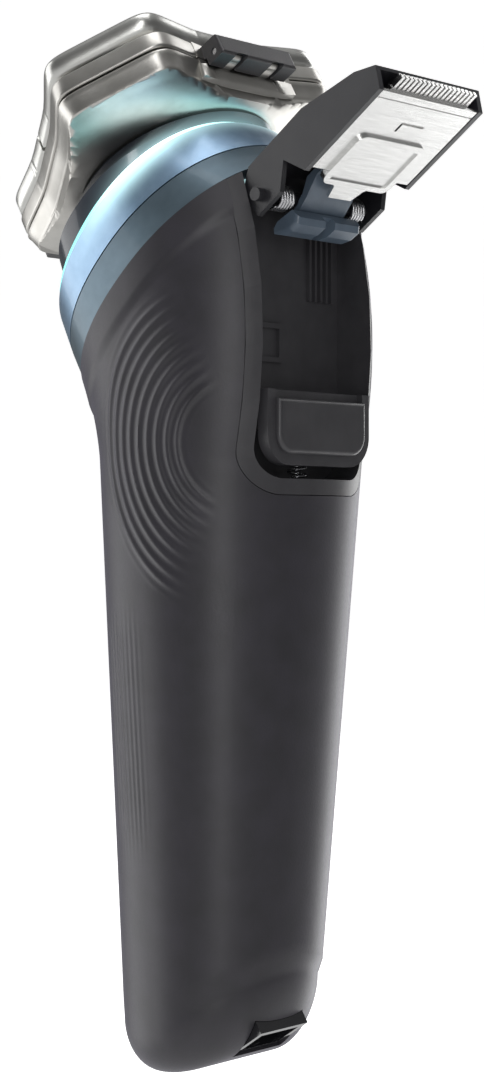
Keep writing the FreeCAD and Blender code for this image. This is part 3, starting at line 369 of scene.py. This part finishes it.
def bandBody(name, low, high, wall, rows=10):
    # closed band between two stations: outside up, then inside down
    columns = 240
    phi = np.linspace(0, 2 * np.pi, columns, endpoint=False)
    steps = np.linspace(low, high, rows)
    outside = [handlePoint(np.full(columns, k), phi) for k in steps]
    inside = [handlePoint(np.full(columns, k), phi, wall) for k in steps[::-1]]
    return ringGrid(name, np.array(outside + inside), 35.0)


def tree(name):
    mat = bpy.data.materials.new(name)
    mat.use_nodes = True
    return mat, mat.node_tree.nodes, mat.node_tree.links


def addNode(ns, kind, **settings):
    node = ns.new(kind)
    for key, value in settings.items():
        if hasattr(node, key):
            setattr(node, key, value)
        else:
            node.inputs[key.replace("_", " ")].default_value = value
    return node


def finish(name, colour, dark, roughness, metallic=0.0, grainScale=900.0, grainDepth=0.02, spread=0.08,
           coat=0.0, specular=0.5, sheen=0.0, streak=None):
    # general finish: two tones mixed by broad noise, roughness varied by fine noise, fine bump
    mat, ns, links = tree(name)
    shader = ns["Principled BSDF"]
    shader.inputs["Metallic"].default_value = metallic
    shader.inputs["Coat Weight"].default_value = coat
    shader.inputs["Coat Roughness"].default_value = 0.06
    shader.inputs["Specular IOR Level"].default_value = specular
    shader.inputs["Sheen Weight"].default_value = sheen
    place = addNode(ns, "ShaderNodeTexCoord")
    mapping = addNode(ns, "ShaderNodeMapping")
    if streak:
        mapping.inputs["Scale"].default_value = streak
    links.new(place.outputs["Object"], mapping.inputs["Vector"])
    broad = addNode(ns, "ShaderNodeTexNoise", Scale=grainScale * 0.08, Detail=3.0)
    fine = addNode(ns, "ShaderNodeTexNoise", Scale=grainScale, Detail=5.0)
    ramp = ns.new("ShaderNodeValToRGB")
    ramp.color_ramp.elements[0].position = 0.3
    ramp.color_ramp.elements[1].position = 0.7
    ramp.color_ramp.elements[0].color = (*dark, 1)
    ramp.color_ramp.elements[1].color = (*colour, 1)
    spreadNode = addNode(ns, "ShaderNodeMapRange")
    spreadNode.inputs["To Min"].default_value = max(roughness - spread, 0.02)
    spreadNode.inputs["To Max"].default_value = roughness + spread
    bump = addNode(ns, "ShaderNodeBump")
    bump.inputs["Strength"].default_value = grainDepth * 10
    bump.inputs["Distance"].default_value = 0.0001
    links.new(mapping.outputs[0], broad.inputs["Vector"])
    links.new(mapping.outputs[0], fine.inputs["Vector"])
    links.new(broad.outputs["Fac"], ramp.inputs["Fac"])
    links.new(ramp.outputs["Color"], shader.inputs["Base Color"])
    links.new(fine.outputs["Fac"], spreadNode.inputs["Value"])
    links.new(spreadNode.outputs["Result"], shader.inputs["Roughness"])
    links.new(fine.outputs["Fac"], bump.inputs["Height"])
    links.new(bump.outputs["Normal"], shader.inputs["Normal"])
    return mat


def mathNode(ns, links, operation, a, b=None, c=None):
    node = ns.new("ShaderNodeMath")
    node.operation = operation
    for i, value in enumerate((a, b, c)):
        if value is None:
            continue
        if isinstance(value, (int, float)):
            node.inputs[i].default_value = value
        else:
            links.new(value, node.inputs[i])
    return node.outputs[0]


def gripFinish():
    # soft-touch rubber: near-black violet with fine grain and a cool sheen
    mat = finish("gripRubber", (0.026, 0.024, 0.031), (0.019, 0.018, 0.022), 0.44, grainScale=2600,
                 grainDepth=0.012, sheen=0.12)
    shader = mat.node_tree.nodes["Principled BSDF"]
    shader.inputs["Sheen Tint"].default_value = (0.62, 0.58, 0.85, 1)
    shader.inputs["Sheen Roughness"].default_value = 0.4
    return mat


glow = {"halo": (0.62, 0.97, 1.0), "reach": 2.8, "strength": 1.8, "middleY": -2.5, "spread": 6.0,
        "domeReach": 0.7, "domeShare": 0.45}


def acrossSquare(ns, links, y):
    # ((y - middle) / spread)^2
    middle = float(toRow([0, glow["middleY"], 0])[1])
    away = mathNode(ns, links, "SUBTRACT", y, middle)
    across = mathNode(ns, links, "DIVIDE", away, glow["spread"] / 1000)
    return mathNode(ns, links, "MULTIPLY", across, across)


def haloNodes(mat, reach, share=1.0):
    # light spilling from the ring, strength e^(-(distance to the ring's plane / reach)^2)
    # e^(-((y - middle) / spread)^2)
    ns, links = mat.node_tree.nodes, mat.node_tree.links
    shader = ns["Principled BSDF"]
    place = [n for n in ns if n.type == "TEX_COORD"][0]
    split = addNode(ns, "ShaderNodeSeparateXYZ")
    links.new(place.outputs["Object"], split.inputs[0])
    front, back = toRow([[0, *handle["rimFront"]], [0, *handle["rimBack"]]])
    slope = (back - front) / np.linalg.norm(back - front)
    normalY, normalZ = -slope[2], slope[1]
    level = normalY * front[1] + normalZ * front[2] + 0.0006
    square = mathNode(ns, links, "MULTIPLY_ADD", split.outputs["Y"], float(normalY), -float(level))
    square = mathNode(ns, links, "MULTIPLY_ADD", split.outputs["Z"], float(normalZ), square)
    square = mathNode(ns, links, "DIVIDE", square, reach / 1000)
    square = mathNode(ns, links, "MULTIPLY", square, square)
    both = mathNode(ns, links, "ADD", square, acrossSquare(ns, links, split.outputs["Y"]))
    power = mathNode(ns, links, "EXPONENT", mathNode(ns, links, "MULTIPLY", both, -1.0))
    power = mathNode(ns, links, "MULTIPLY", power, glow["strength"] * share)
    shader.inputs["Emission Color"].default_value = (*glow["halo"], 1)
    links.new(power, shader.inputs["Emission Strength"])
    return mat


def glowFinish():
    # light guide: cyan ends, white where it is brightest, power a + b e^(-((y - middle) / spread)^2)
    mat, ns, links = tree("lightGuide")
    shader = ns["Principled BSDF"]
    shader.inputs["Roughness"].default_value = 0.3
    place = addNode(ns, "ShaderNodeTexCoord")
    split = addNode(ns, "ShaderNodeSeparateXYZ")
    links.new(place.outputs["Object"], split.inputs[0])
    square = acrossSquare(ns, links, split.outputs["Y"])
    power = mathNode(ns, links, "EXPONENT", mathNode(ns, links, "MULTIPLY", square, -1.0))
    noise = addNode(ns, "ShaderNodeTexNoise", Scale=300.0)
    links.new(place.outputs["Object"], noise.inputs["Vector"])
    ramp = ns.new("ShaderNodeValToRGB")
    ramp.color_ramp.elements[0].color = (0.24, 0.92, 0.90, 1)
    ramp.color_ramp.elements[1].color = (0.85, 1.0, 1.0, 1)
    links.new(mathNode(ns, links, "MULTIPLY_ADD", noise.outputs["Fac"], 0.1, power), ramp.inputs["Fac"])
    links.new(ramp.outputs["Color"], shader.inputs["Base Color"])
    links.new(ramp.outputs["Color"], shader.inputs["Emission Color"])
    links.new(mathNode(ns, links, "MULTIPLY_ADD", power, 1.2, 0.45), shader.inputs["Emission Strength"])
    return mat


def paint(obj, mat):
    obj.data.materials.clear()
    obj.data.materials.append(mat)


looks = {
    "gripRubber": gripFinish(),
    "panelBlack": finish("panelBlack", (0.012, 0.012, 0.014), (0.009, 0.009, 0.011), 0.12,
        coat=0.5, grainScale=1500, grainDepth=0.004),
    "windowSmoke": finish("windowSmoke", (0.006, 0.006, 0.008), (0.004, 0.004, 0.005), 0.06,
        coat=0.8, grainScale=900, grainDepth=0.002),
    "bayPlastic": finish("bayPlastic", (0.043, 0.042, 0.046), (0.033, 0.032, 0.036), 0.38,
        grainScale=3800, grainDepth=0.012),
    "trimmerBlack": finish("trimmerBlack", (0.018, 0.018, 0.021), (0.013, 0.013, 0.016), 0.33,
        grainScale=3000, grainDepth=0.012),
    "collarUpper": haloNodes(finish("collarUpper", (0.24, 0.36, 0.50), (0.20, 0.31, 0.44), 0.32,
        metallic=0.85, grainScale=5200, grainDepth=0.003, spread=0.03, coat=0.3), glow["reach"]),
    "collarLower": finish("collarLower", (0.105, 0.15, 0.185), (0.09, 0.13, 0.16), 0.36,
        metallic=0.8, grainScale=5200, grainDepth=0.003, spread=0.03, coat=0.2),
    "domeSlate": haloNodes(finish("domeSlate", (0.024, 0.030, 0.042), (0.018, 0.022, 0.032), 0.22,
        coat=0.4, grainScale=2600, grainDepth=0.003), glow["reach"] * glow["domeReach"], glow["domeShare"]),
    "lightGuide": glowFinish(),
    "headChrome": finish("headChrome", (0.50, 0.49, 0.465), (0.42, 0.41, 0.385), 0.33,
        metallic=1.0, grainScale=3200, grainDepth=0.006, spread=0.06),
    "bezelChrome": finish("bezelChrome", (0.56, 0.56, 0.54), (0.49, 0.49, 0.47), 0.3,
        metallic=1.0, grainScale=3200, grainDepth=0.006, spread=0.05),
    "bladeSteel": finish("bladeSteel", (0.80, 0.80, 0.79), (0.70, 0.70, 0.69), 0.24,
        metallic=1.0, grainScale=2400, grainDepth=0.01, streak=(1.0, 14.0, 14.0)),
    "springSteel": finish("springSteel", (0.55, 0.55, 0.56), (0.40, 0.40, 0.42), 0.28,
        metallic=1.0, grainScale=2400),
    "barDark": finish("barDark", (0.040, 0.038, 0.042), (0.030, 0.029, 0.032), 0.4,
        grainScale=3600, grainDepth=0.015),
    "leverBlue": finish("leverBlue", (0.10, 0.135, 0.175), (0.075, 0.10, 0.135), 0.32,
        grainScale=3000, grainDepth=0.01),
    "innerWhite": finish("innerWhite", (0.70, 0.70, 0.66), (0.62, 0.62, 0.58), 0.45, grainScale=1800),
    "cellSleeve": finish("cellSleeve", (0.06, 0.20, 0.11), (0.05, 0.16, 0.09), 0.35, grainScale=900),
    "boardGreen": finish("boardGreen", (0.01, 0.10, 0.05), (0.008, 0.07, 0.035), 0.35, grainScale=1600),
    "chipBlack": finish("chipBlack", (0.02, 0.02, 0.02), (0.015, 0.015, 0.015), 0.5, grainScale=2500),
    "motorSteel": finish("motorSteel", (0.55, 0.55, 0.55), (0.45, 0.45, 0.45), 0.3,
        metallic=1.0, streak=(14.0, 14.0, 1.0)),
    "brass": finish("brass", (0.75, 0.55, 0.25), (0.62, 0.44, 0.2), 0.28, metallic=1.0),
    "gearPlastic": finish("gearPlastic", (0.80, 0.78, 0.70), (0.72, 0.70, 0.62), 0.42, grainScale=1800),
    "sealRubber": finish("sealRubber", (0.02, 0.02, 0.02), (0.012, 0.012, 0.012), 0.6, grainScale=2600),
}
slotLook = {
    "grip_rubber": "gripRubber", "panel_black": "panelBlack", "window_smoke": "windowSmoke",
    "button_black": "panelBlack", "bay_grey": "bayPlastic", "collar_blue": "collarUpper",
    "light_guide": "lightGuide", "dome_slate": "domeSlate", "frame_white": "innerWhite",
    "cell_green": "cellSleeve", "nickel": "springSteel", "board_green": "boardGreen",
    "chip_black": "chipBlack", "motor_steel": "motorSteel", "brass": "brass",
    "gear_plastic": "gearPlastic", "seal_rubber": "sealRubber", "spring_steel": "springSteel",
    "trimmer_black": "trimmerBlack", "blade_steel": "bladeSteel", "lever_blue": "leverBlue",
    "chamber_chrome": "headChrome", "bezel_chrome": "bezelChrome", "bar_dark": "barDark",
}
nodeSlot = {part["node"]: part["material_slot"] for part in frame["record"]["subparts"]}
for name, obj in nodes.items():
    paint(obj, looks[slotLook[nodeSlot[name]]])
print("materials made")


def cutFront(grow):
    return prism("cutter", panelOutline(grow), 1, -60.0, -6.0)


def buildHandle():
    seam = 0.12
    grip = gripBody()
    carve(grip, [cutFront(seam), prism("cutter", bayOutline(seam), 1, 0.0, 60.0), socketCutter(seam / 2)])
    smooth(grip, 35)
    paint(grip, looks["gripRubber"])
    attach(grip, "handle")
    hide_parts("grip_shell")
    for name, node, low, high, look in (("collarLower", "collar_lower", 2.0, 3.0, "collarLower"),
                                        ("collarUpper", "collar_upper", 3.0, 4.0, "collarUpper")):
        band = bandBody(name, low + 0.02, high - 0.02, handle["wall"])
        carve(band, [cutFront(seam)])
        smooth(band, 35)
        paint(band, looks[look])
        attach(band, "handle")
        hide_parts(node)
    print("handle pieces made")


buildHandle()

head = {
    "tilt": 29.7, "y": -15.0, "z": 147.6, "columns": 360,
    "lobes": (30, 150, 270), "lobeReach": 27.5, "lobeHalf": 9.15, "dip": 19.87, "dipHalf": 7.0,
    "cornerInset": 0.577, "softness": 1.9, "samples": 720, "clear": 0.06, "open": 99.0,
    "chamberHigh": 0.02, "bandLow": -3.2, "underLow": -5.8, "underInset": 0.95,
    "band": [(0.3, -1.0), (0.8, -2.7), (0.86, -3.1), (1.0, -3.35)],
    "funnelRadius": 26.8, "mouthRadius": 16.9, "funnelStart": 0.35, "bossRadius": 9.2, "bossLow": -8.05,
    "plugInset": 2.0, "plugHigh": 3.0,
    "frameLow": 0.28, "frameHigh": 3.25, "unitLow": 1.9, "unitHigh": 7.45, "unitInset": 0.36,
    "edge": 0.5, "unitEdge": 1.0,
    "hingeRoom": {"half": 10.5, "near": 15.0, "far": 27.0, "low": -3.3, "high": 3.4},
}


def headPoint(u, v, w):
    # head's own u, v, w -> drawing mm, turned by the tilt about x
    a = math.radians(head["tilt"])
    return np.stack([u + 0 * w, v * math.cos(a) - w * math.sin(a) + head["y"],
                     v * math.sin(a) + w * math.cos(a) + head["z"]], -1)


def headRadius(angles, inset=0.0):
    # distance of the three-lobed outline from its middle: straight sides, smoothed along their length
    h = head
    corners = []
    for lobe in np.radians(h["lobes"]):
        for turn, reach, half in ((lobe, h["lobeReach"] - inset, h["lobeHalf"] - inset * h["cornerInset"]),
                                  (lobe + np.pi / 3, h["dip"] - inset, h["dipHalf"])):
            for side in (-1, 1):
                corners.append([reach * np.cos(turn) - side * half * np.sin(turn),
                                reach * np.sin(turn) + side * half * np.cos(turn)])
    corners = np.array(corners + corners[:1])
    length = np.concatenate([[0], np.cumsum(np.linalg.norm(np.diff(corners, axis=0), axis=1))])
    count = h["samples"]
    at = np.linspace(0, length[-1], count, endpoint=False)
    line = np.stack([np.interp(at, length, corners[:, 0]), np.interp(at, length, corners[:, 1])], 1)
    step = length[-1] / count
    reach = int(4 * h["softness"] / step)
    weight = np.exp(-0.5 * (np.arange(-reach, reach + 1) * step / h["softness"]) ** 2)
    weight /= weight.sum()
    wide = np.concatenate([line[-reach:], line, line[:reach]])
    line = np.stack([np.convolve(wide[:, i], weight, "valid") for i in (0, 1)], 1)
    angle = np.arctan2(line[:, 1], line[:, 0]) % (2 * np.pi)
    order = np.argsort(angle)
    return np.interp(angles, angle[order], np.hypot(*line[order].T), period=2 * np.pi)


def headBody(name, profile):
    # closed body from rows of (inset, height, limit): radius = smaller of the outline and the limit
    angles = np.linspace(0, 2 * np.pi, head["columns"], endpoint=False)
    rows = []
    for inset, height, limit in profile:
        radius = np.minimum(headRadius(angles, inset), limit)
        level = np.full(len(angles), height)
        rows.append(headPoint(radius * np.cos(angles), radius * np.sin(angles), level))
    return closedGrid(name, np.array(rows), 30.0)


def roundedEdge(inset, height, radius, up, steps=6):
    # quarter turn from the side to the flat, inset r (1 - cos a), height r (1 - sin a)
    turn = np.linspace(0, np.pi / 2, steps)
    insets = inset + radius * (1 - np.cos(turn))
    heights = height - up * radius * (1 - np.sin(turn))
    return [(i, z, head["open"]) for i, z in zip(insets, heights)]


def shapedNode(name, node, body):
    # the CAD node's own form, trimmed by a body with round corners
    mesh = nodes[node].data.copy()
    build = bmesh.new()
    build.from_mesh(mesh)
    bmesh.ops.remove_doubles(build, verts=build.verts, dist=1e-6)
    build.to_mesh(mesh)
    build.free()
    piece = bpy.data.objects.new(name, mesh)
    bpy.context.scene.collection.objects.link(piece)
    carve(piece, [body], "INTERSECT")
    smooth(piece, 28)
    paint(piece, looks[slotLook[nodeSlot[node]]])
    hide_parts(node)
    return piece


def hingeBlock():
    # room kept around the hinge, outside the outline
    h = head["hingeRoom"]
    u = np.array([h["half"], h["half"], -h["half"], -h["half"]])
    v = np.array([h["near"], h["far"], h["far"], h["near"]])
    return closedGrid("cutter", np.array([headPoint(u, v, np.full(4, w)) for w in (h["low"], h["high"])]))


def chamberBody():
    # plug above, rounded band, slanted band, funnel r = funnel - drop * slope, then the boss
    h = head
    wide = h["open"]
    slope = (h["funnelRadius"] - h["mouthRadius"]) / (h["bandLow"] - h["underLow"])
    profile = [(h["plugInset"], h["plugHigh"], wide), (h["plugInset"], h["chamberHigh"], wide)]
    profile += roundedEdge(h["clear"], h["chamberHigh"], h["edge"], 1)[::-1]
    profile += [(inset, level, wide) for inset, level in h["band"]]
    for drop in np.linspace(h["funnelStart"], h["bandLow"] - h["underLow"], 8):
        level = h["bandLow"] - drop + h["clear"]
        profile.append((h["underInset"], level, h["funnelRadius"] - drop * slope))
    boss = h["bossRadius"] + h["clear"]
    profile += [(0.0, h["underLow"] + h["clear"], boss), (0.0, h["bossLow"], boss)]
    return headBody("cutter", profile)


def frameBody():
    low = roundedEdge(head["clear"], head["frameLow"], head["edge"], -1)[::-1]
    return headBody("cutter", low + roundedEdge(head["clear"], head["frameHigh"], head["edge"], 1))


def unitBody():
    top = roundedEdge(head["unitInset"], head["unitHigh"], head["unitEdge"], 1, steps=9)
    return headBody("cutter", [(head["unitInset"], head["unitLow"], head["open"])] + top)


def buildHead():
    chamber = chamberBody()
    carve(chamber, [hingeBlock()], "UNION")
    chamberPiece = shapedNode("hairChamber", "hair_chamber", chamber)
    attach(chamberPiece, "head_base")
    around = frameBody()
    carve(around, [hingeBlock()], "UNION")
    framePiece = shapedNode("headFrame", "head_frame", around)
    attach(framePiece, "head_top")
    for i in (1, 2, 3):
        piece = shapedNode(f"unitBezel{i}", f"unit_bezel_{i}", unitBody())
        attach(piece, f"unit_{i}")
    print("head pieces made")


buildHead()

stage = {"floorGlow": 0.75, "worldTones": [(0.0, 1.0), (0.25, 0.75), (0.45, 0.14), (0.7, 0.14), (1.0, 0.5)],
         "lights": [("leftSoft", -103, 0, 0.9, (0.8, 1.3), 6.5), ("rightRim", 140, 5, 0.9, (0.5, 1.3), 6.0),
                    ("topSoft", 20, 75, 0.9, (0.7, 0.7), 4.0), ("strip", 4, 6, 1.1, (0.22, 1.0), 3.8)]}


def buildStage():
    # bowl: flat floor that curves up into a wall all round, z = h (1 - cos) past the flat radius
    turn = np.linspace(0, 2 * np.pi, 96, endpoint=False)
    flat, rise, low = 3.0, 3.0, cadLow[2] - 0.03
    a = np.linspace(0, np.pi / 2, 24)
    radius = np.concatenate([[0.02, 0.5, 1.5], flat + rise * np.sin(a)])
    height = np.concatenate([[0.0, 0.0, 0.0], rise * (1 - np.cos(a))])
    level = height[:, None] + low + 0 * turn
    grid = np.stack([radius[:, None] * np.cos(turn), radius[:, None] * np.sin(turn), level], -1)
    rows, columns = grid.shape[:2]
    faces = [gridFaces(rows, columns), np.arange(columns)[None, ::-1]]
    floor = meshFrom("floor", grid.reshape(-1, 3), faces, 60)
    mat = finish("paleFloor", (0.86, 0.86, 0.86), (0.84, 0.84, 0.84), 0.7, grainScale=20, grainDepth=0.0)
    shader = mat.node_tree.nodes["Principled BSDF"]
    shader.inputs["Emission Color"].default_value = (1, 1, 1, 1)
    shader.inputs["Emission Strength"].default_value = stage["floorGlow"]
    paint(floor, mat)
    floor.visible_glossy = False   # the floor doesn't wash out the dark plastic
    floor.visible_diffuse = False
    floor.visible_shadow = False
    buildWorld()


def buildWorld():
    # studio surroundings by height: bright below as a pale floor is, dim at the sides, softer above
    world = bpy.data.worlds.new("studio")
    world.use_nodes = True
    ns, links = world.node_tree.nodes, world.node_tree.links
    place = ns.new("ShaderNodeTexCoord")
    split = ns.new("ShaderNodeSeparateXYZ")
    ramp = ns.new("ShaderNodeValToRGB")
    tones = ramp.color_ramp.elements
    tones[0].position, tones[1].position = stage["worldTones"][0][0], stage["worldTones"][-1][0]
    for position, tone in stage["worldTones"][1:-1]:
        tones.new(position)
    for element, (position, tone) in zip(tones, stage["worldTones"]):
        element.position = position
        element.color = (tone, tone, tone, 1)
    links.new(place.outputs["Generated"], split.inputs[0])
    lift = ns.new("ShaderNodeMath")
    lift.operation = "MULTIPLY_ADD"
    lift.inputs[1].default_value = 0.5
    lift.inputs[2].default_value = 0.5
    links.new(split.outputs["Z"], lift.inputs[0])
    links.new(lift.outputs[0], ramp.inputs["Fac"])
    links.new(ramp.outputs["Color"], ns["Background"].inputs["Color"])
    ns["Background"].inputs["Strength"].default_value = 1.0
    bpy.context.scene.world = world


def areaLight(name, azimuth, elevation, distance, size, power, target):
    # softbox aimed at the target; azimuth and elevation as in the camera's
    a, e = math.radians(azimuth), math.radians(elevation)
    back = np.array([math.sin(a) * math.cos(e), -math.cos(a) * math.cos(e), math.sin(e)])
    light = bpy.data.lights.new(name, "AREA")
    light.shape = "RECTANGLE"
    light.size, light.size_y = size
    light.energy = power
    obj = bpy.data.objects.new(name, light)
    bpy.context.scene.collection.objects.link(obj)
    obj.location = target + back * distance
    obj.rotation_mode = "QUATERNION"
    obj.rotation_quaternion = mathutils.Vector(-back).to_track_quat("-Z", "Y")
    obj.visible_camera = False
    return obj


view = {"azimuth": 132.4, "distance": 345.5, "target": (-0.1, 2.2, 84.0), "lens": 73.5}


def buildCamera():
    a = math.radians(view["azimuth"])
    back = np.array([math.sin(a), -math.cos(a), 0.0])
    cam = bpy.data.cameras.new("camera")
    cam.lens = view["lens"]
    cam.sensor_width = 36
    cam.clip_start, cam.clip_end = 0.01, 50
    obj = bpy.data.objects.new("camera", cam)
    bpy.context.scene.collection.objects.link(obj)
    obj.location = toRow(view["target"]) + back * view["distance"] / 1000
    obj.rotation_mode = "QUATERNION"
    obj.rotation_quaternion = mathutils.Vector(-back).to_track_quat("-Z", "Y")
    bpy.context.scene.camera = obj


buildStage()
centre = (np.array(cadLow) + np.array(cadHigh)) / 2
for name, turn, height, distance, size, power in stage["lights"]:
    areaLight(name, view["azimuth"] + turn, height, distance, size, power, centre)
bpy.context.scene.view_settings.view_transform = "Standard"
buildCamera()
print("stage made")
